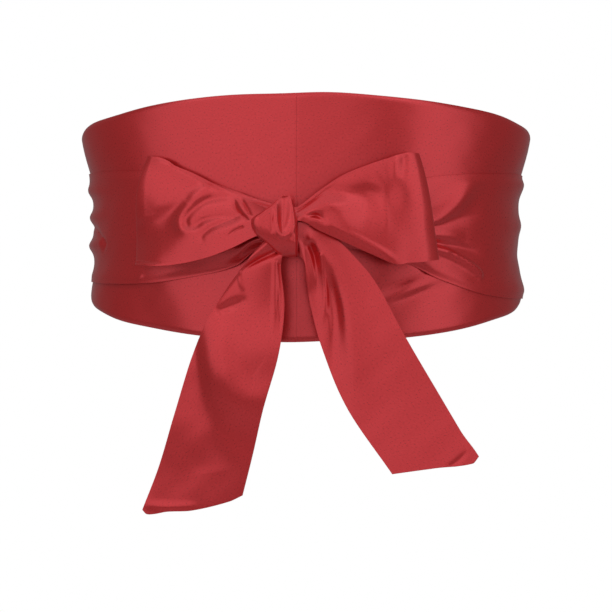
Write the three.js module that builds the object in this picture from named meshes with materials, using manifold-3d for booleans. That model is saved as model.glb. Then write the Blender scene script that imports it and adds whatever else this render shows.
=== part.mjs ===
// A wide satin wrap sash, worn round a waist and tied in a bow at the front.
// A leaf-shaped panel in two halves covers the front and sides. A long tie is sewn to each end of it.
// The ties pass each other at the back, come forward over the panel and meet in a bow.
// Millimetres. +Z is up and -Y is the front. Left and right are as seen from the front.
// The origin is the middle of the waist, level with the waistline.
import * as THREE from "three";
import { mergeVertices } from "three/addons/utils/BufferGeometryUtils.js";
import Module from "manifold-3d";

const wasm = await Module();
wasm.setup();

// Waist: the hollow that the sash is wound on, an oval that widens to the ribs above and the hips below.
// grow is how far it widens at the sides, and front is the share of that at the front and back.
const WAIST_HALF_WIDTH = 125.6;
const WAIST_HALF_DEPTH = 92;
const RIB_FLARE = { grow: 9.2, front: 0.05, from: 15, to: 62 };
const HIP_FLARE = { grow: 3.2, front: 0.05, from: 15, to: 42 };

// Cloth: the panel is satin on a stiff interlining, the ties are satin sewn double and turned out.
const PANEL_WALL = 1.6;
const TIE_WALL = 1.2;
const SEAM = 0.3;
const LAY = 0.9;

// Panel: its edges are highest and lowest at the front and draw in towards the ends.
const PANEL_TOP = { side: 57, rise: 22 };
const PANEL_BOTTOM = { side: -42, drop: 24 };
const PANEL_END = 128;
const CENTRE_SEAM = -2.4;

// Bow: where its knot sits, the share of a loop that is its turned end, how far that turn reaches, and how open
// a loop's top edge is beside its bottom edge.
const KNOT_OUT = 109.5;
const LOOP_TURN = { share: 0.25, reach: 0.05 };
const LOOP_TOP_OPEN = 0.6;

// How finely each kind of piece is faceted: steps along it and across it.
const PANEL_STEPS = { along: 16, across: 12 };
const WRAP_STEPS = { along: 34, across: 12 };
const LOOP_STEPS = { along: 32, across: 7 };
const TAIL_STEPS = { along: 16, across: 8 };
const KNOT_STEPS = { up: 12, round: 20 };

const PLEATS_IN_WRAP = 3;

// Each tie's way round the waist, one row for each section. turn is degrees round from the front, by way of
// the far side and the back. mid and width are the band's height on the body. lift is its clearance from the
// hollow, and pleat is how deep its lengthwise folds are.
const OVER_PANEL = PANEL_WALL + LAY;
const LEFT_WRAP = [
  { turn: PANEL_END, mid: 8, width: 68, lift: 0, pleat: 0 },
  { turn: 150, mid: 12, width: 52, lift: 0, pleat: 2.2 },
  { turn: 165, mid: 16.5, width: 42, lift: 0.5, pleat: 2.6 },
  { turn: 180, mid: 20, width: 38, lift: 2.6, pleat: 3.6 },
  { turn: 195, mid: 16.5, width: 42, lift: 6, pleat: 2.6 },
  { turn: 210, mid: 12, width: 50, lift: 6.2, pleat: 2.2 },
  { turn: 232, mid: 6, width: 61, lift: 5, pleat: 2.2 },
  { turn: 270, mid: 1, width: 66, lift: OVER_PANEL, pleat: 1.4 },
  { turn: 312, mid: 1, width: 66, lift: OVER_PANEL, pleat: 0.6 },
  { turn: 332, mid: 0.4, width: 55, lift: OVER_PANEL, pleat: 0.6 },
  { turn: 342, mid: 0, width: 43, lift: OVER_PANEL, pleat: 2 },
  { turn: 347, mid: 2, width: 31, lift: OVER_PANEL + 1, pleat: 4 },
  { turn: 351, mid: 2, width: 24, lift: OVER_PANEL + 3, pleat: 4 },
];
const RIGHT_WRAP = [
  { turn: PANEL_END, mid: 8, width: 68, lift: 0, pleat: 0 },
  { turn: 150, mid: -11, width: 52, lift: 0, pleat: 2.2 },
  { turn: 165, mid: -16.5, width: 42, lift: 0.5, pleat: 2.6 },
  { turn: 180, mid: -20, width: 38, lift: 2.6, pleat: 3.6 },
  { turn: 195, mid: -16.5, width: 42, lift: 6, pleat: 2.6 },
  { turn: 210, mid: -12, width: 50, lift: 6.2, pleat: 2.2 },
  { turn: 232, mid: -6, width: 64, lift: 5, pleat: 2.2 },
  { turn: 270, mid: -4, width: 74, lift: OVER_PANEL, pleat: 2 },
  { turn: 303, mid: -3, width: 72, lift: OVER_PANEL, pleat: 2.2 },
  { turn: 322, mid: 0.7, width: 61, lift: OVER_PANEL, pleat: 1.6 },
  { turn: 332, mid: 3.3, width: 48, lift: OVER_PANEL, pleat: 2 },
  { turn: 345, mid: 3.5, width: 33, lift: OVER_PANEL + 0.5, pleat: 3 },
  { turn: 355, mid: 2, width: 26, lift: OVER_PANEL + 2.5, pleat: 3 },
  { turn: 363, mid: 1, width: 22, lift: OVER_PANEL + 4, pleat: 3 },
];

// The bow's loops, one row for each upright section from the knot to the turned end: the ends of the section
// on the top and bottom edges, as x and z, how far out in front of the waist's middle each lies, and how far
// the back run lies behind the front run.
const LEFT_LOOP = [
  { reach: 0, topX: -20, topZ: 10, topOut: 112, bottomX: -20, bottomZ: -2, bottomOut: 113, open: 5 },
  { reach: 0.12, topX: -33, topZ: 15.8, topOut: 105, bottomX: -31, bottomZ: -5.9, bottomOut: 112, open: 5 },
  { reach: 0.25, topX: -42, topZ: 20, topOut: 99.5, bottomX: -42, bottomZ: -11.3, bottomOut: 109.5, open: 6 },
  { reach: 0.4, topX: -54, topZ: 26, topOut: 93.8, bottomX: -54.6, bottomZ: -16.3, bottomOut: 105.5, open: 7 },
  { reach: 0.55, topX: -66, topZ: 32.3, topOut: 88.4, bottomX: -67, bottomZ: -19.6, bottomOut: 99, open: 8 },
  { reach: 0.73, topX: -80.5, topZ: 39.6, topOut: 80.6, bottomX: -81, bottomZ: -21.8, bottomOut: 91, open: 8 },
  { reach: 1, topX: -94, topZ: 43, topOut: 71.5, bottomX: -101, bottomZ: -21.5, bottomOut: 79, open: 8 },
];
const RIGHT_LOOP = [
  { reach: 0, topX: -16, topZ: 9, topOut: 112, bottomX: -15, bottomZ: 1, bottomOut: 113, open: 5 },
  { reach: 0.1, topX: -5.7, topZ: 11.5, topOut: 109, bottomX: -3.7, bottomZ: 4.5, bottomOut: 113.5, open: 5 },
  { reach: 0.25, topX: 9, topZ: 22.5, topOut: 105, bottomX: 8, bottomZ: 2, bottomOut: 113, open: 5 },
  { reach: 0.4, topX: 22, topZ: 31, topOut: 101.5, bottomX: 22, bottomZ: -4.5, bottomOut: 112, open: 6 },
  { reach: 0.58, topX: 38, topZ: 37.6, topOut: 98.5, bottomX: 37.5, bottomZ: -14, bottomOut: 109.5, open: 8 },
  { reach: 0.8, topX: 54, topZ: 43, topOut: 94, bottomX: 60, bottomZ: -20.5, bottomOut: 101.5, open: 7 },
  { reach: 1, topX: 67, topZ: 44.2, topOut: 88, bottomX: 79, bottomZ: -18, bottomOut: 92.5, open: 7 },
];

// The bow's tails, one row for each section from the knot to the slanting end: the section's ends on the left
// and right edges, as x and z, how far out in front each lies, and how far the cloth swells between them.
const LEFT_TAIL = [
  { along: 0, leftX: -20, leftZ: -4, rightX: -12, rightZ: -10, leftOut: 113, rightOut: 113, belly: 0 },
  { along: 0.12, leftX: -33, leftZ: -18, rightX: -14.5, rightZ: -22, leftOut: 112, rightOut: 113, belly: 1.5 },
  { along: 0.3, leftX: -53, leftZ: -46, rightX: -12.5, rightZ: -46, leftOut: 106, rightOut: 111.5, belly: 2 },
  { along: 0.5, leftX: -66, leftZ: -74, rightX: -16, rightZ: -74, leftOut: 102.5, rightOut: 113, belly: 2 },
  { along: 0.7, leftX: -77, leftZ: -109, rightX: -25, rightZ: -106, leftOut: 95.5, rightOut: 107.5, belly: 1 },
  { along: 1, leftX: -96, leftZ: -168.5, rightX: -37, rightZ: -157, leftOut: 83, rightOut: 96, belly: 0.5 },
];
const RIGHT_TAIL = [
  { along: 0, leftX: -12, leftZ: -9, rightX: -12, rightZ: 3, leftOut: 110, rightOut: 110, belly: 0 },
  { along: 0.07, leftX: -6, leftZ: -14.5, rightX: 7.4, rightZ: -0.6, leftOut: 107.5, rightOut: 108, belly: 0.5 },
  { along: 0.12, leftX: -1.5, leftZ: -19, rightX: 16.7, rightZ: -7, leftOut: 106.5, rightOut: 107, belly: 1 },
  { along: 0.3, leftX: 1.5, leftZ: -40, rightX: 40, rightZ: -31, leftOut: 103.5, rightOut: 109, belly: 1 },
  { along: 0.5, leftX: 9, leftZ: -69, rightX: 57.5, rightZ: -63, leftOut: 105, rightOut: 112.5, belly: 1 },
  { along: 0.75, leftX: 24, leftZ: -105, rightX: 80, rightZ: -101.5, leftOut: 108.5, rightOut: 115.5, belly: 0.5 },
  { along: 1, leftX: 50, leftZ: -143, rightX: 100, rightZ: -135.5, leftOut: 113.5, rightOut: 120, belly: 0 },
];

// The knot, one row for each level section: its centre, half width and half depth.
const KNOT = [
  { level: -16.6, centre: -9.5, halfWidth: 3.5, halfDepth: 4.5 },
  { level: -14, centre: -11, halfWidth: 6.8, halfDepth: 8 },
  { level: -8, centre: -14, halfWidth: 10.2, halfDepth: 11 },
  { level: -2, centre: -17, halfWidth: 12.4, halfDepth: 12 },
  { level: 4, centre: -18.2, halfWidth: 12.8, halfDepth: 12 },
  { level: 10, centre: -15, halfWidth: 9.8, halfDepth: 11 },
  { level: 15.5, centre: -12.6, halfWidth: 6, halfDepth: 8.5 },
  { level: 19, centre: -11.5, halfWidth: 2.6, halfDepth: 4.5 },
];

// A column of a table, read between its rows along a smooth cubic.
function read(rows, key, column, at) {
  const last = rows.length - 1;
  let i = 0;
  while (i < last - 1 && at > rows[i + 1][key]) i += 1;
  const slope = (n) => {
    const before = rows[Math.max(n - 1, 0)];
    const after = rows[Math.min(n + 1, last)];
    return (after[column] - before[column]) / (after[key] - before[key]);
  };
  const span = rows[i + 1][key] - rows[i][key];
  const t = (at - rows[i][key]) / span;
  const from = rows[i][column];
  const to = rows[i + 1][column];
  return (
    from * (1 + 2 * t) * (1 - t) ** 2 +
    to * t * t * (3 - 2 * t) +
    span * (slope(i) * t * (1 - t) ** 2 - slope(i + 1) * t * t * (1 - t))
  );
}

const flare = ({ grow, front, from, to }, height, angle) =>
  grow * THREE.MathUtils.lerp(front, 1, Math.sin(angle) ** 6) * THREE.MathUtils.smoothstep(height, from, to);

// A point on the waist's oval, moved out from the hollow.
function onWaist(degrees, height, out) {
  const angle = THREE.MathUtils.degToRad(degrees);
  const grow = flare(RIB_FLARE, height, angle) + flare(HIP_FLARE, -height, angle) + out;
  return new THREE.Vector3(
    (WAIST_HALF_WIDTH + grow) * Math.sin(angle),
    -(WAIST_HALF_DEPTH + grow) * Math.cos(angle),
    height,
  );
}

// A closed geometry from points and triangles.
function geometryOf(points, triangles) {
  const geometry = new THREE.BufferGeometry();
  geometry.setAttribute("position", new THREE.Float32BufferAttribute(points.flatMap((p) => p.toArray()), 3));
  geometry.setIndex(triangles);
  return geometry;
}

// A wall of cloth: a grid of points at(u, v) on its middle surface, given thickness and closed round its rim.
function wall(at, steps, thickness) {
  const columns = steps.along + 1;
  const rows = steps.across + 1;
  const inside = (value) => Math.min(Math.max(value, 0), 1);
  const normal = (u, v) => {
    const du = 0.25 / steps.along;
    const dv = 0.25 / steps.across;
    const along = at(inside(u + du), v).sub(at(inside(u - du), v));
    const across = at(u, inside(v + dv)).sub(at(u, inside(v - dv)));
    return along.cross(across).normalize();
  };
  const points = [];
  for (const face of [0.5, -0.5])
    for (let i = 0; i < columns; i += 1)
      for (let j = 0; j < rows; j += 1) {
        const u = i / steps.along;
        const v = j / steps.across;
        points.push(at(u, v).addScaledVector(normal(u, v), face * thickness));
      }
  const front = (i, j) => i * rows + j;
  const back = (i, j) => columns * rows + front(i, j);
  const triangles = [];
  const quad = (a, b, c, d) => triangles.push(a, b, c, a, c, d);
  for (let i = 0; i < steps.along; i += 1)
    for (let j = 0; j < steps.across; j += 1) {
      quad(front(i, j), front(i + 1, j), front(i + 1, j + 1), front(i, j + 1));
      quad(back(i, j), back(i, j + 1), back(i + 1, j + 1), back(i + 1, j));
    }
  for (let i = 0; i < steps.along; i += 1) {
    quad(front(i, 0), back(i, 0), back(i + 1, 0), front(i + 1, 0));
    quad(front(i + 1, steps.across), back(i + 1, steps.across), back(i, steps.across), front(i, steps.across));
  }
  for (let j = 0; j < steps.across; j += 1) {
    quad(front(0, j + 1), back(0, j + 1), back(0, j), front(0, j));
    quad(front(steps.along, j), back(steps.along, j), back(steps.along, j + 1), front(steps.along, j + 1));
  }
  return geometryOf(points, triangles);
}

// A rounded body from level rings, with its ends closed. grow makes it larger all round.
function knotBody(grow) {
  const { up, round } = KNOT_STEPS;
  const low = KNOT[0].level;
  const high = KNOT[KNOT.length - 1].level;
  const points = [];
  for (let i = 0; i <= up; i += 1) {
    const level = THREE.MathUtils.lerp(low, high, i / up);
    const ring = (column) => read(KNOT, "level", column, level);
    const raised = level + grow * (2 * (i / up) - 1);
    for (let j = 0; j < round; j += 1) {
      const angle = (2 * Math.PI * j) / round;
      points.push(
        new THREE.Vector3(
          ring("centre") + (ring("halfWidth") + grow) * Math.cos(angle),
          -KNOT_OUT + (ring("halfDepth") + grow) * Math.sin(angle),
          raised,
        ),
      );
    }
  }
  const ends = [0, up].map((i) => {
    const ring = points.slice(i * round, (i + 1) * round);
    const centre = ring.reduce((sum, p) => sum.add(p), new THREE.Vector3()).divideScalar(round);
    return points.push(centre) - 1;
  });
  const triangles = [];
  for (let j = 0; j < round; j += 1) {
    const next = (j + 1) % round;
    triangles.push(ends[0], next, j, ends[1], up * round + j, up * round + next);
    for (let i = 0; i < up; i += 1) {
      const [a, b] = [i * round + j, i * round + next];
      triangles.push(a, b, b + round, a, b + round, a + round);
    }
  }
  return geometryOf(points, triangles);
}

// A geometry as a solid for cutting, and back.
function solidOf(geometry) {
  const merged = mergeVertices(geometry, 1e-4);
  const vertProperties = merged.attributes.position.array;
  const triVerts = new Uint32Array(merged.index.array);
  return new wasm.Manifold(new wasm.Mesh({ numProp: 3, vertProperties, triVerts }));
}

function cutBy(geometry, cutter) {
  const { vertProperties, triVerts } = solidOf(geometry).subtract(solidOf(cutter)).getMesh();
  const cut = new THREE.BufferGeometry();
  cut.setAttribute("position", new THREE.Float32BufferAttribute(vertProperties, 3));
  cut.setIndex([...triVerts]);
  return cut;
}

// Lengthwise folds across a band: none at its edges, and count ridges between them.
const pleats = (count, v) => Math.sin(count * Math.PI * v) ** 2;

// Half of the panel, from the centre seam to the end where a tie is sewn on.
function panelHalf(side) {
  const gap = THREE.MathUtils.radToDeg(SEAM / 2 / WAIST_HALF_WIDTH);
  const start = CENTRE_SEAM + side * gap;
  const end = side * (PANEL_END - 2 * gap);
  return wall(
    (u, v) => {
      const degrees = THREE.MathUtils.lerp(start, end, side > 0 ? u : 1 - u);
      const front = Math.cos(THREE.MathUtils.degToRad(degrees));
      const top = PANEL_TOP.side + PANEL_TOP.rise * front;
      const bottom = PANEL_BOTTOM.side - PANEL_BOTTOM.drop * front;
      return onWaist(degrees, THREE.MathUtils.lerp(bottom, top, v), PANEL_WALL / 2);
    },
    PANEL_STEPS,
    PANEL_WALL,
  );
}

// A tie's stretch round the waist. way is +1 when it starts at the panel's right end.
function tieWrap(rows, way) {
  const first = rows[0].turn + THREE.MathUtils.radToDeg(SEAM / WAIST_HALF_DEPTH);
  const last = rows[rows.length - 1].turn;
  return wall(
    (u, v) => {
      const turn = THREE.MathUtils.lerp(first, last, way > 0 ? u : 1 - u);
      const row = (column) => read(rows, "turn", column, turn);
      const height = row("mid") + (v - 0.5) * row("width");
      const out = row("lift") + row("pleat") * pleats(PLEATS_IN_WRAP, v) + TIE_WALL / 2;
      return onWaist(way * turn, height, out);
    },
    WRAP_STEPS,
    TIE_WALL,
  );
}

// A loop of the bow: a front run out from the knot, a turned end, and a back run behind.
function bowLoop(rows, side) {
  return wall(
    (u, v) => {
      const way = 1 - Math.abs(2 * u - 1);
      const run = u < 0.5 ? side : -side;
      const turn = THREE.MathUtils.clamp((way - 1 + LOOP_TURN.share) / LOOP_TURN.share, 0, 1);
      const angle = (turn * Math.PI) / 2;
      const straight = Math.min(way / (1 - LOOP_TURN.share), 1);
      const reach = straight * (1 - LOOP_TURN.reach) + LOOP_TURN.reach * Math.sin(angle);
      const row = (column) => read(rows, "reach", column, reach);
      const halfOpen = (row("open") / 2) * THREE.MathUtils.lerp(1, LOOP_TOP_OPEN, v);
      const middle = THREE.MathUtils.lerp(row("bottomOut"), row("topOut"), v) - halfOpen;
      return new THREE.Vector3(
        THREE.MathUtils.lerp(row("bottomX"), row("topX"), v),
        -middle - run * halfOpen * Math.cos(angle),
        THREE.MathUtils.lerp(row("bottomZ"), row("topZ"), v),
      );
    },
    LOOP_STEPS,
    TIE_WALL,
  );
}

// A tail of the bow, from the knot to its slanting end.
function bowTail(rows) {
  return wall(
    (u, v) => {
      const row = (column) => read(rows, "along", column, 1 - u);
      const swell = row("belly") * 4 * v * (1 - v);
      return new THREE.Vector3(
        THREE.MathUtils.lerp(row("leftX"), row("rightX"), v),
        -THREE.MathUtils.lerp(row("leftOut"), row("rightOut"), v) - swell,
        THREE.MathUtils.lerp(row("leftZ"), row("rightZ"), v),
      );
    },
    TAIL_STEPS,
    TIE_WALL,
  );
}

const satin = (tone) => new THREE.MeshStandardMaterial({ color: tone, roughness: 0.38, metalness: 0.1 });
const PANEL_RED = "#b5373c";
const TIE_RED = "#bb3a41";

const sash = new THREE.Group();
const piece = (name, geometry, tone) => {
  const mesh = new THREE.Mesh(geometry, satin(tone));
  mesh.name = name;
  sash.add(mesh);
};

const knotClearance = knotBody(SEAM);
piece("panel_left", panelHalf(-1), PANEL_RED);
piece("panel_right", panelHalf(1), PANEL_RED);
piece("tie_wrap_left", cutBy(tieWrap(LEFT_WRAP, 1), knotClearance), TIE_RED);
piece("tie_wrap_right", cutBy(tieWrap(RIGHT_WRAP, -1), knotClearance), TIE_RED);
piece("bow_loop_left", cutBy(bowLoop(LEFT_LOOP, -1), knotClearance), TIE_RED);
piece("bow_loop_right", cutBy(bowLoop(RIGHT_LOOP, 1), knotClearance), TIE_RED);
piece("bow_tail_left", cutBy(bowTail(LEFT_TAIL), knotClearance), TIE_RED);
piece("bow_tail_right", cutBy(bowTail(RIGHT_TAIL), knotClearance), TIE_RED);
piece("bow_knot", knotBody(0), TIE_RED);

export default sash;
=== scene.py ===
from math import radians

import bpy
import numpy as np
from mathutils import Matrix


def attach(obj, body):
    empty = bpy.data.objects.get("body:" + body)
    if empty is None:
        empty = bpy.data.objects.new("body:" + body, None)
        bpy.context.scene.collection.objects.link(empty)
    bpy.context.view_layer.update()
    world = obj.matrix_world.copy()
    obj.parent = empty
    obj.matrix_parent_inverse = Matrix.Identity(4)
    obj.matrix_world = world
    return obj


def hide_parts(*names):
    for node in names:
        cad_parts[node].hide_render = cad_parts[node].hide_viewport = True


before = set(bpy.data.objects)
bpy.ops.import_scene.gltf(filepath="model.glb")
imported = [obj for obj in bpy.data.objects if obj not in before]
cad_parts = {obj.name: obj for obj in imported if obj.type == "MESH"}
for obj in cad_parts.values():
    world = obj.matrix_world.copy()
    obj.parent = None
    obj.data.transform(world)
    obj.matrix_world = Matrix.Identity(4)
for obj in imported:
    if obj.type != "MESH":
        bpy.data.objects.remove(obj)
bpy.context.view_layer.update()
bpy.ops.object.select_all(action="DESELECT")

# Front panel.
# Satin on a stiff interlining, cut as two halves of a leaf and seamed together at the centre front.
# It goes round the front and sides of the waist, with its long edges rolled to the inside.

# Sizes of the cloth are in millimetres, and become metres when a mesh is made.
MM = 0.001
WAIST_HALF_WIDTH = 125.6
WAIST_HALF_DEPTH = 92

# The waist widens toward the ribs and the hips, most at the sides.
RIB_FLARE = {"grow": 9.2, "front": 0.05, "start": 15, "end": 62}
HIP_FLARE = {"grow": 3.2, "front": 0.05, "start": 15, "end": 42}
FLARE_AT_SIDES = 6

PANEL_WALL = 1.6
PANEL_TOP = {"side": 57, "rise": 22}
PANEL_BOTTOM = {"side": -42, "drop": 24}
PANEL_ROLL = {"inset": 3.0, "turn": 1.1}
PANEL_KEEL = {"height": 0.9, "width": 20}
PANEL_TAUT_EDGE = 8
PANEL_EDGE_ROUND = 0.01
PANEL_WEAVE = (245, 145)
PANEL_COLUMNS = 170
PANEL_ROWS = 100
PANEL_ROWS_CROWD = 0.6

# Places round the waist are in degrees from the front, with the right side positive.
MM_PER_DEGREE = 2.0
PANEL_END = 128
CENTRE_SEAM = -2.4
SEAM_GAP = 0.002
EDGE_WAVER = {"height": 0.35, "length": 7, "uneven": 11}

# Under the ties the panel is pressed in: start, full, fade and end are degrees, half and rim are heights.
PANEL_PRESSED = {"depth": 0.55, "start": 28, "full": 36, "fade": 90, "end": 108, "half": 23, "rim": 29}

# Folds in the panel, each along a path of (x, z) seen from the front.
PANEL_FOLDS = [
    # Drag lines under the tie on the right.
    {"path": [(40, -36.5), (55, -30.5), (69, -24.5)], "wide": (3.6, 3.2), "lift": (-0.5, -0.9, -0.5)},
    {"path": [(44, -41.5), (60, -35), (76, -29)], "wide": (3.4, 3.0), "lift": (0.4, 1.2, 0.3)},
    {"path": [(50, -45), (66, -38.5), (82, -33)], "wide": (3.6, 3.2), "lift": (-0.2, -0.6, -0.3)},
    # The lower left side drawn in, and a slight hollow and swell near the top.
    {"path": [(-100, -36), (-94, -64)], "wide": (19, 23), "lift": (-2.2, -4.6)},
    {"path": [(-20, 40), (-22, 55), (-26, 72)], "wide": (16, 18), "lift": (-0.4, -0.5)},
    {"path": [(60, 45), (66, 56), (70, 66)], "wide": (12, 14), "lift": (0.4, 0.5)},
]


def smooth(start, end, value):
    """A soft step from 0 at start to 1 at end."""
    part = np.clip((value - start) / (end - start), 0, 1)
    return part * part * (3 - 2 * part)


def between(low, high, part):
    """The value that lies part of the way from low to high."""
    return low + (high - low) * part


def flare(shape, height, angle):
    """How far the waist widens at a height: most at the sides, less at the front and back."""
    share = between(shape["front"], 1, np.sin(angle) ** FLARE_AT_SIDES)
    return shape["grow"] * share * smooth(shape["start"], shape["end"], height)


def on_waist(degrees, height, out):
    """A point on the oval of the waist, moved out from the body."""
    angle = np.radians(degrees)
    grow = flare(RIB_FLARE, height, angle) + flare(HIP_FLARE, -height, angle) + out
    x = (WAIST_HALF_WIDTH + grow) * np.sin(angle)
    y = -(WAIST_HALF_DEPTH + grow) * np.cos(angle)
    return np.stack([x, y, height], axis=1)


def cubic(first, last, first_slope, last_slope, part):
    """A smooth curve between two values, with its slope given at each."""
    return (
        first * (1 + 2 * part) * (1 - part) ** 2
        + last * part**2 * (3 - 2 * part)
        + first_slope * part * (1 - part) ** 2
        - last_slope * part**2 * (1 - part)
    )


def smooth_path(points, steps=6):
    """A curve through a few points."""
    spots = np.array(points, float)
    before = np.vstack([2 * spots[0] - spots[1], spots[:-1]])
    after = np.vstack([spots[1:], 2 * spots[-1] - spots[-2]])
    slope = (after - before) / 2
    part = np.linspace(0, 1, steps, endpoint=False)[:, None]
    curve = [cubic(spots[i], spots[i + 1], slope[i], slope[i + 1], part) for i in range(len(spots) - 1)]
    return np.vstack(curve + [spots[-1:]])


def along_path(values, part):
    """A fold's width or lift, given at even steps along its path."""
    curve = smooth_path(list(enumerate(values)), steps=12)
    return np.interp(part, curve[:, 0] / (len(values) - 1), curve[:, 1])


SMALLEST_GAP = 0.001


def folds(across, up, rows):
    """How far a table of folds lifts the cloth, as soft ridges and troughs along their paths.
    steep narrows a fold on the left of its path, as on a tuck."""
    total = np.zeros_like(across)
    for row in rows:
        path = smooth_path(row["path"])
        nearest = np.full_like(across, np.inf)
        along = np.zeros_like(across)
        side = np.zeros_like(across)
        for i in range(len(path) - 1):
            run = path[i + 1] - path[i]
            dx = across - path[i, 0]
            dz = up - path[i, 1]
            part = np.clip((dx * run[0] + dz * run[1]) / (run @ run), 0, 1)
            gap = np.hypot(dx - part * run[0], dz - part * run[1])
            closer = gap < nearest
            nearest = np.where(closer, gap, nearest)
            along = np.where(closer, (i + part) / (len(path) - 1), along)
            turn = (run[0] * dz - run[1] * dx) / (np.hypot(*run) * np.maximum(gap, SMALLEST_GAP))
            side = np.where(closer, turn, side)
        wide = along_path(row["wide"], along)
        wide *= between(1, row.get("steep", 1), (1 + np.clip(side, -1, 1)) / 2)
        total += along_path(row["lift"], along) * np.exp(-((nearest / wide) ** 2))
    return total


SLACK_LIFT = 0.04
SLACK_WAVE = {"across": 3.1, "up": 3.7, "shift": 1.1, "sway": 0.7, "sway_up": 5.3}
SLACK_SLANT = {"across": 5.2, "up": 4.1, "shift": 2.0}


def slack(across, up):
    """The slight unevenness of cloth that isn't pulled tight."""
    sway = SLACK_WAVE["sway"] * np.sin(up / SLACK_WAVE["sway_up"])
    wave = np.sin(across / SLACK_WAVE["across"] + sway) * np.sin(up / SLACK_WAVE["up"] + SLACK_WAVE["shift"])
    slant = np.sin(across / SLACK_SLANT["across"] - up / SLACK_SLANT["up"] + SLACK_SLANT["shift"])
    return SLACK_LIFT * (wave + slant)


def cloth(name, columns, rows, weave, shape):
    """A flat grid of cloth, moved to its worn form. shape(u, v) gives its points, and weave is the size
    that its threads are laid out on."""
    bpy.ops.mesh.primitive_grid_add(x_subdivisions=columns, y_subdivisions=rows, size=1)
    piece = bpy.context.active_object
    piece.name = name
    piece.data.name = name
    spots = np.empty(len(piece.data.vertices) * 3)
    piece.data.vertices.foreach_get("co", spots)
    u, v = spots.reshape(-1, 3)[:, :2].T + 0.5
    piece.data.vertices.foreach_set("co", (shape(u, v) * MM).ravel())
    thread = np.empty(len(piece.data.loops) * 2)
    piece.data.uv_layers.active.data.foreach_get("uv", thread)
    piece.data.uv_layers.active.data.foreach_set("uv", (thread.reshape(-1, 2) * weave * MM).ravel())
    piece.data.update()
    return piece


EDGE_SEGMENTS = 3
EDGE_ANGLE = 60
SMOOTH_ANGLE = 28


def sew(piece, thickness, edge_round):
    """The cloth gets its thickness, and its edges are rounded."""
    wall = piece.modifiers.new("Thickness", "SOLIDIFY")
    wall.thickness = thickness * MM
    wall.offset = 0
    wall.use_quality_normals = True
    rim = piece.modifiers.new("Rounded edge", "BEVEL")
    rim.width = edge_round * MM
    rim.segments = EDGE_SEGMENTS
    rim.limit_method = "ANGLE"
    rim.angle_limit = radians(EDGE_ANGLE)
    for name in [wall.name, rim.name]:
        bpy.ops.object.modifier_apply(modifier=name)
    bpy.ops.object.shade_smooth_by_angle(angle=radians(SMOOTH_ANGLE))


def toward_edges(v, crowd):
    """Rows drawn closer together at both edges of the cloth."""
    return v - crowd * np.sin(2 * np.pi * v) / (2 * np.pi)


SATIN_RED = (0.58, 0.013, 0.012)
SATIN_GLINT = (0.68, 0.022, 0.022)


def satin(name):
    """Satin: a soft sheen over fine threads, with a slight speckle where they catch the light."""
    material = bpy.data.materials.new(name)
    material.use_nodes = True
    nodes = material.node_tree.nodes
    links = material.node_tree.links
    shader = nodes["Principled BSDF"]
    shader.inputs["Metallic"].default_value = 0.55
    shader.inputs["Specular Tint"].default_value = (1.0, 0.35, 0.38, 1)
    shader.inputs["Specular IOR Level"].default_value = 0.3
    shader.inputs["Anisotropic"].default_value = 0.3
    shader.inputs["Coat Weight"].default_value = 0.9
    shader.inputs["Coat Roughness"].default_value = 0.3
    shader.inputs["Sheen Weight"].default_value = 0.05
    shader.inputs["Sheen Roughness"].default_value = 0.4
    shader.inputs["Sheen Tint"].default_value = (1.0, 0.4, 0.42, 1)
    place = nodes.new("ShaderNodeTexCoord")

    speckle = nodes.new("ShaderNodeTexNoise")
    speckle.inputs["Scale"].default_value = 900
    speckle.inputs["Detail"].default_value = 2
    links.new(place.outputs["UV"], speckle.inputs["Vector"])
    tone = nodes.new("ShaderNodeValToRGB")
    tone.color_ramp.elements[0].position = 0.3
    tone.color_ramp.elements[0].color = (*SATIN_RED, 1)
    tone.color_ramp.elements[1].position = 0.75
    tone.color_ramp.elements[1].color = (*SATIN_GLINT, 1)
    links.new(speckle.outputs["Fac"], tone.inputs["Fac"])
    links.new(tone.outputs["Color"], shader.inputs["Base Color"])

    gloss = nodes.new("ShaderNodeMapRange")
    gloss.inputs["To Min"].default_value = 0.24
    gloss.inputs["To Max"].default_value = 0.34
    links.new(speckle.outputs["Fac"], gloss.inputs["Value"])
    links.new(gloss.outputs["Result"], shader.inputs["Roughness"])

    stretch = nodes.new("ShaderNodeMapping")
    stretch.inputs["Scale"].default_value = (450, 2600, 1)
    links.new(place.outputs["UV"], stretch.inputs["Vector"])
    threads = nodes.new("ShaderNodeTexNoise")
    threads.inputs["Scale"].default_value = 1
    threads.inputs["Detail"].default_value = 1
    links.new(stretch.outputs["Vector"], threads.inputs["Vector"])
    relief = nodes.new("ShaderNodeBump")
    relief.inputs["Strength"].default_value = 0.25
    relief.inputs["Distance"].default_value = 0.00008
    links.new(threads.outputs["Fac"], relief.inputs["Height"])
    links.new(relief.outputs["Normal"], shader.inputs["Normal"])
    return material


PANEL_SATIN = satin("panel_satin")


def pressed_in(degrees, height):
    """How far the ties press the panel in at each side."""
    turn = np.abs(degrees)
    under = smooth(PANEL_PRESSED["start"], PANEL_PRESSED["full"], turn)
    under *= 1 - smooth(PANEL_PRESSED["fade"], PANEL_PRESSED["end"], turn)
    under *= 1 - smooth(PANEL_PRESSED["half"], PANEL_PRESSED["rim"], np.abs(height))
    return PANEL_PRESSED["depth"] * under


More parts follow.
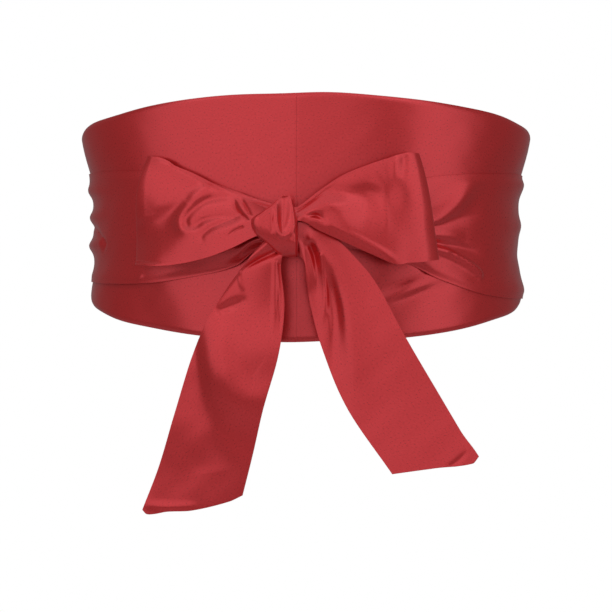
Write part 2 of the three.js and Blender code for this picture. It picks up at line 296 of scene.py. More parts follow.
def panel_half(name, side):
    """Half of the panel, from the centre seam to the end where a tie is sewn on."""
    start = CENTRE_SEAM + side * SEAM_GAP / 2
    end = side * PANEL_END

    def shape(u, v):
        degrees = between(start, end, u)
        front = np.cos(np.radians(degrees))
        uneven = np.sin(degrees / EDGE_WAVER["uneven"])
        waver = EDGE_WAVER["height"] * np.sin(degrees / EDGE_WAVER["length"] + uneven)
        top = PANEL_TOP["side"] + PANEL_TOP["rise"] * front + waver
        bottom = PANEL_BOTTOM["side"] - PANEL_BOTTOM["drop"] * front + waver
        v = toward_edges(v, PANEL_ROWS_CROWD)
        height = between(bottom, top, v)
        from_edge = (top - bottom) * np.minimum(v, 1 - v)
        flat = on_waist(degrees, height, 0)
        out = np.where(front > 0, folds(flat[:, 0], height, PANEL_FOLDS), 0)
        out += slack(degrees * MM_PER_DEGREE, height) * smooth(0, PANEL_TAUT_EDGE, from_edge)
        out -= pressed_in(degrees, height)
        seam_distance = np.radians(np.abs(degrees - CENTRE_SEAM)) * WAIST_HALF_WIDTH
        out += PANEL_KEEL["height"] * np.exp(-seam_distance / PANEL_KEEL["width"])
        roll = np.clip(1 - from_edge / PANEL_ROLL["inset"], 0, 1)
        out -= PANEL_ROLL["turn"] * roll**2
        return on_waist(degrees, height, out + PANEL_WALL / 2)

    half = cloth(name, PANEL_COLUMNS, PANEL_ROWS, PANEL_WEAVE, shape)
    sew(half, PANEL_WALL, PANEL_EDGE_ROUND)
    half.data.materials.append(PANEL_SATIN)
    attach(half, "root")
    return half


left_half = panel_half("panel_left_satin", -1)
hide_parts("panel_left")
right_half = panel_half("panel_right_satin", 1)
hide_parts("panel_right")

# Ties, where they go round the waist.
# Satin sewn double and turned out, one sewn to each end of the panel. They pass each other at the back
# with half a twist, come forward over the panel in lengthwise folds, and are drawn into the knot.
TIE_WALL = 0.7
TIE_EDGE_ROUND = 0.3
TIE_ROWS_CROWD = 0.35
TIE_CLEARANCE = 0.9
OVER_PANEL = PANEL_WALL + TIE_CLEARANCE
EDGE_LIES_IN = {"depth": 0.6, "inset": 5}
WRAP_TAUT_EDGE = 6
WRAP_GAP_DEGREES = 0.2
WRAP_WEAVE = (440, 70)
WRAP_COLUMNS = 400
WRAP_ROWS = 80
PLEATS_IN_WRAP = 3


def table(columns, *rows):
    """Rows of values under named columns."""
    return [dict(zip(columns.split(), row)) for row in rows]


# A row for each place that a tie passes: turn is in degrees from the front, round by the back.
LEFT_WRAP = table(
    "turn mid width lift pleat",
    (PANEL_END, 8, 68, 0, 0),
    (150, 12, 52, 0, 2.2),
    (165, 16.5, 42, 0.5, 2.6),
    (180, 20, 38, 2.6, 3.6),
    (195, 16.5, 42, 6, 2.6),
    (210, 12, 50, 6.2, 2.2),
    (232, 6, 61, 5, 1.4),
    (270, 2, 65, OVER_PANEL, 0),
    (312, 1, 66, OVER_PANEL, 0),
    (332, 0.4, 55, OVER_PANEL, 0.6),
    (342, 0, 43, OVER_PANEL + 2, 2),
    (347, 2, 31, OVER_PANEL + 6, 3),
    (352, 2, 24, OVER_PANEL + 11, 3),
)
RIGHT_WRAP = table(
    "turn mid width lift pleat",
    (PANEL_END, 8, 68, 0, 0),
    (150, -11, 52, 0, 2.2),
    (165, -16.5, 42, 0.5, 2.6),
    (180, -20, 38, 2.6, 3.6),
    (195, -16.5, 42, 6, 2.6),
    (210, -12, 50, 6.2, 2.2),
    (232, -6, 64, 5, 1.4),
    (270, -4, 74, OVER_PANEL, 0),
    (303, -3, 72, OVER_PANEL, 0),
    (322, 0.7, 61, OVER_PANEL, 0.6),
    (332, 3.3, 48, OVER_PANEL, 2),
    (345, 3.5, 33, OVER_PANEL + 1.5, 3),
    (355, 2, 26, OVER_PANEL + 6, 3),
    (363, 1, 22, OVER_PANEL + 9, 3),
)

# Folds in the ties, along paths of (degrees round from the front, height).
LEFT_WRAP_FOLDS = [
    # Lengthwise ridges and a hollow round the side, with a hooked crease among them.
    {"path": [(-150, 22), (-110, 24), (-88, 24), (-66, 23)], "wide": (4, 4), "lift": (1.5, 2.2, 2.4, 0.2)},
    {"path": [(-150, 6), (-110, 8), (-88, 8), (-68, 9)], "wide": (3.5, 3.5), "lift": (1.5, 2.2, 2.2, 0.2)},
    {
        "path": [(-150, -10), (-110, -9), (-88, -9), (-73, -8)],
        "wide": (4.2, 3.6),
        "lift": (1.8, 2.4, 2.6, 1.4),
    },
    {
        "path": [(-120, 2.4), (-84, 2), (-74, -3), (-69, -8), (-71, -13)],
        "wide": (2, 1.2),
        "lift": (0, -0.8, -0.9, -0.9, 0),
    },
    {"path": [(-140, -20), (-90, -21), (-62, -20)], "wide": (6, 6), "lift": (-0.6, -0.7, 0)},
    # A small tuck in the lower edge, and the swell behind the loop.
    {"path": [(-52, -32), (-50, -30), (-48.5, -27)], "wide": (1.4, 1.4), "lift": (1.6, 1.2, 0)},
    {"path": [(-12, -3), (-20, -7), (-32, -11), (-48, -15)], "wide": (8, 9), "lift": (4, 5, 4, 0.5)},
]
RIGHT_WRAP_FOLDS = [
    # Ridges and troughs that fan out from behind the loop.
    {"path": [(34, 4), (38, 8), (45, 18.5), (51, 29)], "wide": (4, 7), "lift": (1.0, 1.9, 2.2, 0.6)},
    {"path": [(32, 0), (36.8, 1.4), (44, 5.9), (56, 9.3)], "wide": (2.4, 3.4), "lift": (-1.2, -1.2, -1.0, 0)},
    {"path": [(32, -3), (40, -3.4), (47, -4.5)], "wide": (3.2, 3.6), "lift": (1.4, 1.2, 0)},
    {
        "path": [(32, -8), (38, -8.6), (46, -11), (54, -15)],
        "wide": (2.2, 2.6),
        "lift": (-1.4, -1.4, -1.2, -0.2),
    },
    {
        "path": [(33, -10), (38.4, -12.3), (43.4, -15.7), (48.4, -20.2), (53, -25.6), (53.4, -29)],
        "wide": (3.0, 3.0),
        "lift": (2.2, 2.2, 2.2, 2.1, 1.6, 0.3),
        "steep": 0.4,
    },
    # Lengthwise ridges and a hollow round the side.
    {"path": [(150, 22), (110, 26), (88, 27), (62, 25)], "wide": (6, 6), "lift": (1.2, 1.8, 1.8, 0.2)},
    {"path": [(150, 2), (110, 4), (88, 3), (66, 2)], "wide": (5, 5), "lift": (1.2, 1.6, 1.6, 0.2)},
    {"path": [(150, -14), (110, -14), (88, -14), (66, -12)], "wide": (6, 6), "lift": (-0.6, -0.8, -0.8, 0)},
    {"path": [(150, -30), (110, -34), (90, -35), (60, -33)], "wide": (5, 5), "lift": (0.8, 1.0, 0.8, 0.2)},
]


def read(rows, key, column, at):
    """A column of a table, read between its rows along a smooth curve."""
    keys = np.array([row[key] for row in rows], float)
    values = np.array([row[column] for row in rows], float)
    before = np.maximum(np.arange(len(keys)) - 1, 0)
    after = np.minimum(np.arange(len(keys)) + 1, len(keys) - 1)
    slope = (values[after] - values[before]) / (keys[after] - keys[before])
    i = np.clip(np.searchsorted(keys, at) - 1, 0, len(keys) - 2)
    span = keys[i + 1] - keys[i]
    part = (at - keys[i]) / span
    return cubic(values[i], values[i + 1], span * slope[i], span * slope[i + 1], part)


def read_row(rows, key, at):
    """Every column of a table at one place in it."""
    return {column: read(rows, key, column, at) for column in rows[0]}


def pleats(count, v):
    """Even soft pleats across a width."""
    return np.sin(count * np.pi * v) ** 2


TIE_SATIN = satin("tie_satin")


def tie_wrap(name, rows, way, wrap_folds):
    """A tie's stretch round the waist. way is +1 where it starts at the panel's right end."""
    first = rows[0]["turn"] + WRAP_GAP_DEGREES
    last = rows[-1]["turn"]

    def in_millimetres(path):
        return [(degrees * MM_PER_DEGREE, height) for degrees, height in path]

    paths = [{**fold, "path": in_millimetres(fold["path"])} for fold in wrap_folds]

    def shape(u, v):
        turn = between(first, last, u)
        row = read_row(rows, "turn", turn)
        v = toward_edges(v, TIE_ROWS_CROWD)
        height = row["mid"] + (v - 0.5) * row["width"]
        degrees = way * (turn - 360)
        along = degrees * MM_PER_DEGREE
        from_edge = row["width"] * np.minimum(v, 1 - v)
        out = row["lift"] + row["pleat"] * pleats(PLEATS_IN_WRAP, v)
        out += (folds(along, height, paths) + slack(along, height)) * smooth(0, WRAP_TAUT_EDGE, from_edge)
        out -= EDGE_LIES_IN["depth"] * (1 - smooth(0, EDGE_LIES_IN["inset"], from_edge))
        return on_waist(degrees, height, out + TIE_WALL / 2)

    wrap = cloth(name, WRAP_COLUMNS, WRAP_ROWS, WRAP_WEAVE, shape)
    sew(wrap, TIE_WALL, TIE_EDGE_ROUND)
    wrap.data.materials.append(TIE_SATIN)
    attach(wrap, "root")
    return wrap


left_wrap = tie_wrap("tie_wrap_left_satin", LEFT_WRAP, 1, LEFT_WRAP_FOLDS)
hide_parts("tie_wrap_left")
right_wrap = tie_wrap("tie_wrap_right_satin", RIGHT_WRAP, -1, RIGHT_WRAP_FOLDS)
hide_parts("tie_wrap_right")

# Loops of the bow.
# Each is the same satin tie folded back on itself: out from the knot in fanned pleats, round a soft turn
# at the end, and back behind. Its top edge lies back toward the panel and its bottom edge stands off it.
LOOP_COLUMNS = 260
LOOP_ROWS = 100
LOOP_WEAVE = (175, 64)

# How a loop's end is turned, rounded and bowed, how little its top opens, and how its lower edge is rolled.
LOOP_TURN = 0.2
LOOP_ROUND_END = {"start": 1.5, "close": 0.7}
LOOP_END_BOW = {"lean": 1.6, "late": 5}
LOOP_TOP_OPEN = 0.3
LOOP_ROLL = {"share": 0.16, "down": 1.1, "in": 0.6}
LOOP_EDGE_FOLDS = {"share": 0.3, "inset": 3}

# A row for each place along a loop, from the knot to its end. Out is how far it stands forward.
LEFT_LOOP = table(
    "reach topX topZ topOut bottomX bottomZ bottomOut open belly roll",
    (0, -20, 10, 116, -20, -2, 116, 5, 0, 0),
    (0.12, -33, 15.8, 104, -31, -5.9, 112, 4.5, 0.5, 0),
    (0.25, -42, 20, 97, -42, -11.3, 109, 6, 1, 0),
    (0.4, -54, 26, 90, -54.6, -16.3, 105, 7, 1.5, 0),
    (0.55, -66, 32.3, 84.5, -67, -19.6, 98.5, 8, 1.5, 0),
    (0.68, -77, 37, 79, -77, -21.3, 93.5, 8, 1.5, 0),
    (0.73, -80.5, 39.6, 77, -81, -21.8, 91.5, 7, 1.5, 0),
    (0.85, -86, 41.9, 73.5, -89, -22, 87.5, 6, 1.5, 0),
    (1, -93, 42.9, 69, -100.2, -21.3, 80.5, 5, 1, 0),
)
RIGHT_LOOP = table(
    "reach topX topZ topOut bottomX bottomZ bottomOut open belly roll",
    (0, -16, 9, 113, -15, 1, 114, 3, 0, 0),
    (0.1, -5.7, 11.5, 109, -3.7, 4.5, 114, 3.5, 0, 0.5),
    (0.25, 9, 22.5, 104, 8, 1.6, 112.5, 4.5, 1.5, 3),
    (0.4, 22, 31, 100, 22, -3.6, 111, 5.5, 2.5, 4),
    (0.58, 38, 37.6, 96.5, 37.5, -12.2, 107, 6, 3, 2.5),
    (0.7, 47, 40.6, 93.5, 51.9, -20.9, 102.5, 6.5, 3, 0),
    (0.8, 54, 43, 91, 60, -20.3, 99, 6.5, 3, 0),
    (0.9, 60, 44.3, 88, 69, -19.6, 95, 7, 3, 0),
    (1, 66, 44, 84.5, 77.8, -18.3, 90.5, 6, 2.5, 0),
)
LEFT_LOOP_END = {"bow": -4.0, "turn_at_top": 0.05, "turn_at_bottom": 0.09}
RIGHT_LOOP_END = {"bow": 1.5, "turn_at_top": 0.05, "turn_at_bottom": 0.09}

# Folds in the loops, along paths of (x, z) seen from the front.
LEFT_LOOP_FOLDS = [
    # A slanting trough below the upper part, and the lower corner pulled back beside the turned end.
    {
        "path": [(-104, -4), (-96, -2), (-86, 3), (-78, 8.5), (-70, 15)],
        "wide": (14, 14, 13, 9, 4),
        "lift": (-4.6, -5.6, -5.4, -3.6, -1.0),
        "steep": 0.8,
    },
    {
        "path": [(-107, 6), (-106, -4), (-105, -14), (-104, -24)],
        "wide": (15, 17, 16, 13),
        "lift": (-4.5, -7, -6.5, -5),
    },
    # A soft ridge under the top edge.
    {"path": [(-90, 41), (-79, 37), (-66, 29), (-56, 24)], "wide": (3.5, 4), "lift": (0.3, 0.8, 1.0, 0.6)},
    # A finger-shaped pleat from the knot, with a ridge round its tip and a groove inside the ridge.
    {
        "path": [
            (-52, 25),
            (-58, 22.6),
            (-65, 18),
            (-71, 11),
            (-74, 5),
            (-72.5, 0.6),
            (-68, -1.4),
            (-62, -1),
        ],
        "wide": (3.8, 3.6),
        "lift": (0.6, 1.6, 2.0, 2.0, 2.0, 1.7, 1.1, 0.2),
    },
    {
        "path": [(-44, 18), (-52, 17.6), (-60, 15.4), (-67, 10), (-70.6, 5), (-70, 1.6)],
        "wide": (2.0, 2.4),
        "lift": (-0.2, -0.9, -1.2, -1.4, -1.4, -1.2),
    },
    {
        "path": [(-70, 1.6), (-66, 0.8), (-60, 4.4), (-52, 6.4), (-40, 7)],
        "wide": (2.4, 2.0),
        "lift": (-1.0, -1.4, -1.6, -1.3, -0.8),
    },
    # Lower pleats.
    {
        "path": [(-42, 5), (-50, 2.6), (-57, -0.8), (-61, -5), (-59, -9)],
        "wide": (1.5, 1.8),
        "lift": (-0.5, -1.2, -1.2, -0.8, 0),
    },
    {"path": [(-36, 3), (-45, -1), (-56, -6)], "wide": (2.4, 3.4), "lift": (0.4, 1.0, 0.2)},
    {"path": [(-37, 0.5), (-42, -2), (-46.5, -6.5)], "wide": (0.9, 0.9), "lift": (-1.0, -0.8, 0)},
    # A small tube where the cloth is caught in the knot.
    {"path": [(-40, 16), (-37.5, 12), (-33.5, 6.5)], "wide": (1.5, 1.5), "lift": (0.4, 1.5, 1.0)},
    {"path": [(-41.5, 15.5), (-40.3, 10.5), (-34, 5)], "wide": (0.9, 0.9), "lift": (-0.4, -1.2, -1.0)},
    {"path": [(-36.8, 16), (-32.5, 7.5)], "wide": (0.9, 0.9), "lift": (-0.8, -1.0)},
]
RIGHT_LOOP_FOLDS = [
    # A pleat out of the knot, and the wide dimple above it.
    {
        "path": [(-3, 5.5), (8.5, 12), (20, 14), (31, 14), (48, 12)],
        "wide": (1.5, 3.0, 4.5, 6, 8),
        "lift": (1.2, 1.5, 1.0, 0.6, 0),
    },
    {
        "path": [(10, 22.5), (22, 20.5), (36, 18), (46, 18.5)],
        "wide": (4, 10, 15, 12),
        "lift": (-0.6, -3.2, -5.4, -2.2),
        "steep": 0.56,
    },
    # Creases at the knot.
    {"path": [(0.5, 7), (6.4, 7), (12, 2.6)], "wide": (1.7, 1.8), "lift": (-1.2, -2.2, -0.3)},
    {"path": [(-5, 9.5), (4, 15.8), (12.6, 22.4)], "wide": (1.0, 1.0), "lift": (-1.2, -1.2, -0.2)},
    # A small upright pleat in the top edge.
    {"path": [(52, 43), (51.5, 36), (51, 27)], "wide": (2.4, 2.4), "lift": (0.7, 0.6, 0)},
    {"path": [(57.5, 44), (57.2, 37), (56.6, 28)], "wide": (2.2, 2.2), "lift": (-0.8, -0.7, 0)},
    # A ridge above the rolled lower edge.
    {
        "path": [(14, 1.5), (31, -6.4), (44, -13.6), (51, -18)],
        "wide": (2.0, 2.0),
        "lift": (0.3, 0.9, 1.0, 0.3),
    },
]


def arch(v):
    """0 at both edges of the cloth and 1 in the middle."""
    return 4 * v * (1 - v)


def bow_loop(name, rows, end, loop_folds):
    """A loop of the bow: a front run and a back run, joined round the turned end."""

    def shape(u, v):
        v = toward_edges(v, TIE_ROWS_CROWD)
        way = 1 - np.abs(2 * u - 1)
        side = np.where(u < 0.5, 1, -1)
        turn_share = between(end["turn_at_bottom"], end["turn_at_top"], v)
        turned = np.sin(np.clip((way - 1 + LOOP_TURN) / LOOP_TURN, 0, 1) * np.pi / 2)
        reach = np.minimum(way / (1 - LOOP_TURN), 1) * (1 - turn_share) + turn_share * turned
        row = read_row(rows, "reach", reach)
        bow = end["bow"] * np.sin(np.pi * v ** LOOP_END_BOW["lean"]) * reach ** LOOP_END_BOW["late"]
        x = between(row["bottomX"], row["topX"], v) + bow
        z = between(row["bottomZ"], row["topZ"], v)
        rolled = row["roll"] * np.clip(1 - v / LOOP_ROLL["share"], 0, 1) ** 2
        z -= LOOP_ROLL["down"] * rolled
        tall = np.hypot(row["topX"] - row["bottomX"], row["topZ"] - row["bottomZ"])
        from_edge = tall * np.minimum(v, 1 - v)
        round_end = (1 - turned ** LOOP_ROUND_END["start"]) ** LOOP_ROUND_END["close"]
        open_by = row["open"] * between(1, LOOP_TOP_OPEN, v)
        middle = between(row["bottomOut"], row["topOut"], v) + row["belly"] * arch(v) - open_by / 2
        inside = between(LOOP_EDGE_FOLDS["share"], 1, smooth(0, LOOP_EDGE_FOLDS["inset"], from_edge))
        lifted = (folds(x, z, loop_folds) + slack(x, z)) * inside
        # The back run follows every trough, so that it stays behind the front run, but few of the ridges.
        lifted = np.where(side > 0, lifted, np.minimum(lifted, lifted * turned))
        y = -middle - side * (open_by / 2 - LOOP_ROLL["in"] * rolled) * round_end - lifted
        return np.stack([x, y, z], axis=1)

    loop = cloth(name, LOOP_COLUMNS, LOOP_ROWS, LOOP_WEAVE, shape)
    sew(loop, TIE_WALL, TIE_EDGE_ROUND)
    loop.data.materials.append(TIE_SATIN)
    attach(loop, "root")
    return loop


left_loop = bow_loop("bow_loop_left_satin", LEFT_LOOP, LEFT_LOOP_END, LEFT_LOOP_FOLDS)
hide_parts("bow_loop_left")
right_loop = bow_loop("bow_loop_right_satin", RIGHT_LOOP, RIGHT_LOOP_END, RIGHT_LOOP_FOLDS)
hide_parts("bow_loop_right")

# Tails of the bow.
# The free ends of the two satin ties, cut on a slant and turned out.
# They come out under the knot and hang in front of the panel.
TAIL_COLUMNS = 220
TAIL_ROWS = 90
TAIL_WEAVE = (170, 52)
TAIL_COLUMNS_CROWD = 0.3
TAIL_END_START = 0.86

# A row for each place along a tail, from the knot to its end.
LEFT_TAIL = table(
    "along leftX leftZ rightX rightZ leftOut rightOut belly",
    (0, -20, -4, -12, -10, 114.5, 114.5, 0),
    (0.12, -33, -18, -14.5, -22, 112, 113, 1.5),
    (0.3, -53, -46, -12.5, -46, 106, 111.5, 2),
    (0.5, -66, -74, -16, -74, 102.5, 113, 2),
    (0.7, -77, -109, -25, -106, 95.5, 107.5, 1),
    (0.85, -86, -139, -31, -132, 88.5, 101, 0.5),
    (1, -96, -165, -37, -156, 83, 96, 0.5),
)
RIGHT_TAIL = table(
    "along leftX leftZ rightX rightZ leftOut rightOut belly",
    (0, -12, -9, -12, 4, 110, 110, 0),
    (0.07, -6, -14.5, 7.4, 1.6, 107.5, 107.5, 0.5),
    (0.12, -1.5, -19, 16.7, -5.6, 106.5, 106.5, 1),
    (0.2, 0, -28, 27, -15.5, 105.5, 107.3, 1),
    (0.3, 1.5, -40, 40, -31, 103.5, 109, 1),
    (0.5, 9, -69, 57.5, -63, 105, 112.5, 1),
    (0.75, 24, -105, 80, -101.5, 108.5, 115.5, 0.5),
    (1, 50, -143, 100, -135.5, 113.5, 120, 0),
)

# How far each tail's end curves down below a straight cut, from its left edge to its right.
LEFT_TAIL_END = table(
    "across drop",
    (0, 0),
    (0.04, 2.8),
    (0.12, 3.5),
    (0.25, 3.2),
    (0.5, 4.6),
    (0.86, 2.6),
    (1, 0),
)
RIGHT_TAIL_END = table("across drop", (0, 0), (0.5, 0.2), (0.93, 0.6), (1, -3))

# Folds in the tails, along paths of (x, z) seen from the front.
LEFT_TAIL_FOLDS = [
    # A rolled left edge, and a pleat beside it that runs down from the knot.
    {
        "path": [(-22, -9), (-37, -22), (-49, -37), (-54, -46)],
        "wide": (1.6, 2.0),
        "lift": (1.6, 1.6, 1.0, 0.2),
    },
    {"path": [(-17, -13.5), (-27, -18.5), (-37, -24.5)], "wide": (2.4, 1.2), "lift": (-2.6, -2.2, -0.4)},
    {"path": [(-39, -26), (-38, -32), (-36, -37)], "wide": (1.2, 1.2), "lift": (0.9, 0.8, 0)},
    # A dimple, and the bulge below it that falls away to the lower left.
    {"path": [(-49, -48), (-43.5, -45.6), (-37, -43)], "wide": (2.6, 3.2), "lift": (-1.4, -2.2, -0.8)},
    {
        "path": [(-54, -60), (-49, -84), (-39, -99), (-23, -103)],
        "wide": (9, 13),
        "lift": (2.4, 3.6, 3.4, 1.8),
    },
    {
        "path": [(-66, -58), (-65, -80), (-62, -100), (-56, -120), (-52, -142)],
        "wide": (10, 16),
        "lift": (-1.6, -3.0, -2.8, -1.2, 0),
        "steep": 0.55,
    },
    # A fine ridge and groove inside the right edge.
    {"path": [(-18, -20), (-18.4, -44), (-19, -62)], "wide": (1.3, 1.3), "lift": (0.8, 0.8, 0)},
    {"path": [(-15.6, -21), (-14.6, -42), (-15.4, -62)], "wide": (0.8, 0.8), "lift": (-0.8, -0.7, 0)},
    # A slight roll along the cut end.
    {"path": [(-94, -162), (-80, -163), (-62, -162)], "wide": (2.2, 2.2), "lift": (0.2, 0.8, 0)},
]
RIGHT_TAIL_FOLDS = [
    # Ridges and troughs of the pleats that fan out of the knot, from left to right.
    {"path": [(-4, -9), (-1.3, -22), (1.4, -34), (5, -52)], "wide": (1.6, 1.8), "lift": (1.2, 1.2, 0.9, 0)},
    {"path": [(3, -11), (5, -17), (6, -25), (7, -38)], "wide": (2.2, 1.4), "lift": (-2.6, -2.6, -1.4, -0.3)},
    {"path": [(8.5, -16), (10, -24), (11.3, -41), (9, -58)], "wide": (1.3, 1.6), "lift": (1.2, 1.4, 1.2, 0)},
    {
        "path": [(12.5, -28), (15, -40), (16.6, -56), (15.5, -82)],
        "wide": (2.8, 3.2),
        "lift": (-0.8, -2.0, -2.4, -0.6),
        "steep": 1.6,
    },
    {
        "path": [(4, -6), (15.8, -23), (22, -41), (25, -59), (27, -84), (29, -106)],
        "wide": (3, 4.5),
        "lift": (2.0, 2.2, 2.2, 1.8, 1.2, 0.2),
        "steep": 2.2,
    },
    # A pinch beside the end's right corner.
    {"path": [(92, -131), (88, -135), (84, -138)], "wide": (1.4, 1.4), "lift": (-0.3, -0.8, -0.6)},
]


def bow_tail(name, rows, end_rows, tail_folds):
    """A tail of the bow, from the knot to its slanting end."""

    def shape(u, v):
        along = toward_edges(u, TAIL_COLUMNS_CROWD)
        row = read_row(rows, "along", along)
        v = toward_edges(v, TIE_ROWS_CROWD)
        x = between(row["leftX"], row["rightX"], v)
        drop = read(end_rows, "across", "drop", v) * smooth(TAIL_END_START, 1, along)
        z = between(row["leftZ"], row["rightZ"], v) - drop
        out = between(row["leftOut"], row["rightOut"], v) + row["belly"] * arch(v)
        y = -out - folds(x, z, tail_folds) - slack(x, z)
        return np.stack([x, y, z], axis=1)

    tail = cloth(name, TAIL_COLUMNS, TAIL_ROWS, TAIL_WEAVE, shape)
    sew(tail, TIE_WALL, TIE_EDGE_ROUND)
    tail.data.materials.append(TIE_SATIN)
    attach(tail, "root")
    return tail


left_tail = bow_tail("bow_tail_left_satin", LEFT_TAIL, LEFT_TAIL_END, LEFT_TAIL_FOLDS)
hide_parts("bow_tail_left")
right_tail = bow_tail("bow_tail_right_satin", RIGHT_TAIL, RIGHT_TAIL_END, RIGHT_TAIL_FOLDS)
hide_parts("bow_tail_right")

# Knot of the bow.
# A short stretch of one satin tie, wound over the middle of the bow and pulled tight, with a deep pleat.
# Its crest slants down to the right: the part above faces the light, and the part below faces down.
KNOT_OUT = 112
KNOT_COLUMNS = 180
KNOT_ROWS = 80
KNOT_WEAVE = (92, 26)
KNOT_TOP = 18.6
KNOT_BOTTOM = -16.6
KNOT_DEPTH = {"front": 9.0, "back": 7.0}
KNOT_CREST = {"left": (-31, 3.5), "right": (-5, -8.5)}
KNOT_BULGE = {"crest": 1.7, "foot": 0.8}
KNOT_EDGE = {"turn": 0.65, "tight": 14}
KNOT_FOLDS_START = 0.5
KNOT_OUTLINE = table(
    "level left right",
    (-17, -13.5, -5.5),
    (-10, -21.5, -5),
    (-3, -29.5, -4.8),
    (4.5, -31.4, -5.2),
    (8, -27, -6.2),
    (13.3, -19.5, -7.6),
    (18.7, -13.5, -9.4),
)
KNOT_FOLDS = [
    # The deep pleat, and the lip that goes round its lower end.
    {
        "path": [(-12.5, 18), (-12.6, 10), (-13.2, 3), (-13.5, -2)],
        "wide": (3.6, 3.8, 3.0, 1.6),
        "lift": (-2.2, -3.4, -2.8, -0.8),
    },
    {
        "path": [(-17.6, 12), (-17, 4), (-15.8, -2.5), (-13.4, -5.2), (-9.5, -3.2), (-6.2, 1)],
        "wide": (1.3, 1.3),
        "lift": (0.5, 0.9, 1.2, 1.3, 1.2, 0.6),
    },
    # A fine crease to the left of the lip.
    {"path": [(-18.8, 12.5), (-19.2, 5), (-20, -2.5)], "wide": (0.7, 0.7), "lift": (-0.3, -0.7, -0.2)},
]


def knot_shape(u, v):
    """The knot's points: u goes once round it, over the front, and v from its left edge to its right."""
    angle = 2 * np.pi * u
    z = between(KNOT_BOTTOM, KNOT_TOP, (1 + np.cos(angle)) / 2)
    outline = read_row(KNOT_OUTLINE, "level", z)
    x = between(outline["left"], outline["right"], v)
    facing = np.sin(angle)
    left_x, left_z = KNOT_CREST["left"]
    right_x, right_z = KNOT_CREST["right"]
    crest = between(left_z, right_z, np.clip((x - left_x) / (right_x - left_x), 0, 1))
    reach = np.where(z > crest, KNOT_TOP - crest, crest - KNOT_BOTTOM)
    from_crest = np.clip(np.abs(z - crest) / reach, 0, 1)
    bulge = (1 - from_crest ** KNOT_BULGE["crest"]) ** KNOT_BULGE["foot"]
    rolled_in = np.abs(2 * v - 1) ** KNOT_EDGE["tight"]
    front = KNOT_DEPTH["front"] * bulge * (1 - KNOT_EDGE["turn"] * rolled_in)
    front += folds(x, z, KNOT_FOLDS) * smooth(0, KNOT_FOLDS_START, facing) * (1 - rolled_in)
    back = KNOT_DEPTH["back"] * facing
    y = -KNOT_OUT - np.where(facing > 0, front, back)
    return np.stack([x, y, z], axis=1)


# The band's two ends are joined behind the bow.
MERGE_METRES = 0.00001
knot = cloth("bow_knot_satin", KNOT_COLUMNS, KNOT_ROWS, KNOT_WEAVE, knot_shape)
bpy.ops.object.mode_set(mode="EDIT")
bpy.ops.mesh.select_all(action="SELECT")
bpy.ops.mesh.remove_doubles(threshold=MERGE_METRES)
bpy.ops.mesh.normals_make_consistent(inside=False)
bpy.ops.object.mode_set(mode="OBJECT")
sew(knot, TIE_WALL, TIE_EDGE_ROUND)
knot.data.materials.append(TIE_SATIN)
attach(knot, "root")
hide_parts("bow_knot")

# Floor, lights and camera.
# The sash is at waist height over a floor of pale paper, before a white backdrop.
# Broad soft boxes light it from each side, from the front and from overhead.

# Sizes here are in metres.
FLOOR_SIZE = 8
FLOOR_DROP = 1.0
PALE_PAPER = (0.86, 0.86, 0.86, 1)
WHITE = (1, 1, 1, 1)
COOL_WHITE = (1.0, 1.02, 1.2)
SOFT_BOXES = table(
    "name azimuth elevation distance wide tall power",
    ("left_soft_box", -39.5, 16, 1.3, 1.66, 1.75, 6.5),
    ("front_soft_box", 10, 20, 3.2, 2.2, 3.8, 15),
    ("right_soft_box", 57, 16, 1.3, 0.75, 1.75, 3.4),
    ("top_soft_box", -8, 76, 1.4, 2.4, 1.3, 5.8),
)
CAMERA_SPOT = (0, -2.6, -0.04545)
CAMERA_LENS = 252.3
CAMERA_SENSOR = 36

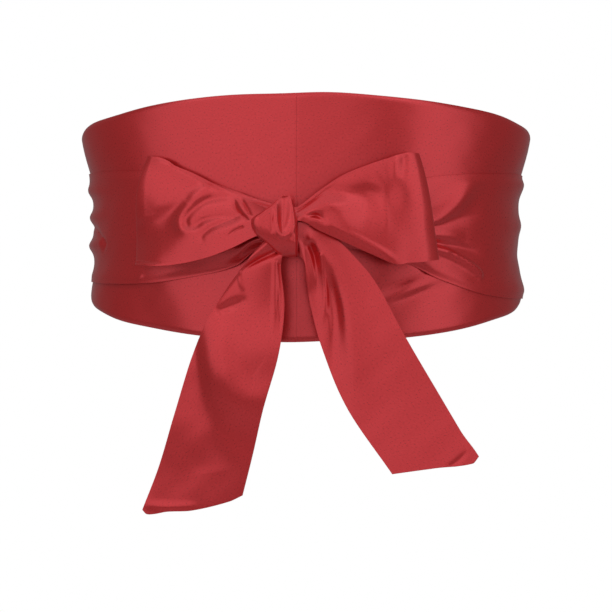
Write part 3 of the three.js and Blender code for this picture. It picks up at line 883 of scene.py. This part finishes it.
bpy.ops.mesh.primitive_plane_add(size=FLOOR_SIZE, location=(0, 0, -FLOOR_DROP))
floor = bpy.context.active_object
floor.name = "floor"
paper = bpy.data.materials.new("pale_paper")
paper.use_nodes = True
paper_shader = paper.node_tree.nodes["Principled BSDF"]
paper_shader.inputs["Base Color"].default_value = PALE_PAPER
paper_shader.inputs["Roughness"].default_value = 0.9
floor.data.materials.append(paper)


def soft_box(name, azimuth, elevation, distance, wide, tall, power):
    """A broad area light that faces the sash. azimuth is degrees from the front, to the right."""
    turn = radians(azimuth)
    lift = radians(elevation)
    spot = (
        distance * np.sin(turn) * np.cos(lift),
        -distance * np.cos(turn) * np.cos(lift),
        distance * np.sin(lift),
    )
    bpy.ops.object.light_add(type="AREA", location=spot, rotation=(radians(90) - lift, 0, turn))
    lamp = bpy.context.active_object
    lamp.name = name
    lamp.visible_camera = False
    lamp.data.shape = "RECTANGLE"
    lamp.data.size = wide
    lamp.data.size_y = tall
    lamp.data.energy = power
    lamp.data.color = COOL_WHITE


for box in SOFT_BOXES:
    soft_box(**box)

world = bpy.data.worlds.new("white_studio")
bpy.context.scene.world = world
world.use_nodes = True
nodes = world.node_tree.nodes
links = world.node_tree.links

# The camera sees a white backdrop, and the cloth gets only a faint fill.
backdrop = nodes["Background"]
backdrop.inputs["Color"].default_value = WHITE
backdrop.inputs["Strength"].default_value = 1.0
fill = nodes.new("ShaderNodeBackground")
fill.inputs["Color"].default_value = WHITE
fill.inputs["Strength"].default_value = 0.19
seen = nodes.new("ShaderNodeLightPath")
choose = nodes.new("ShaderNodeMixShader")
links.new(seen.outputs["Is Camera Ray"], choose.inputs["Fac"])
links.new(fill.outputs["Background"], choose.inputs[1])
links.new(backdrop.outputs["Background"], choose.inputs[2])
links.new(choose.outputs["Shader"], nodes["World Output"].inputs["Surface"])
bpy.context.scene.view_settings.view_transform = "Standard"

bpy.ops.object.camera_add(location=CAMERA_SPOT, rotation=(radians(90), 0, 0))
camera = bpy.context.active_object
camera.data.lens = CAMERA_LENS
camera.data.sensor_width = CAMERA_SENSOR
camera.data.clip_end = 50
bpy.context.scene.camera = camera
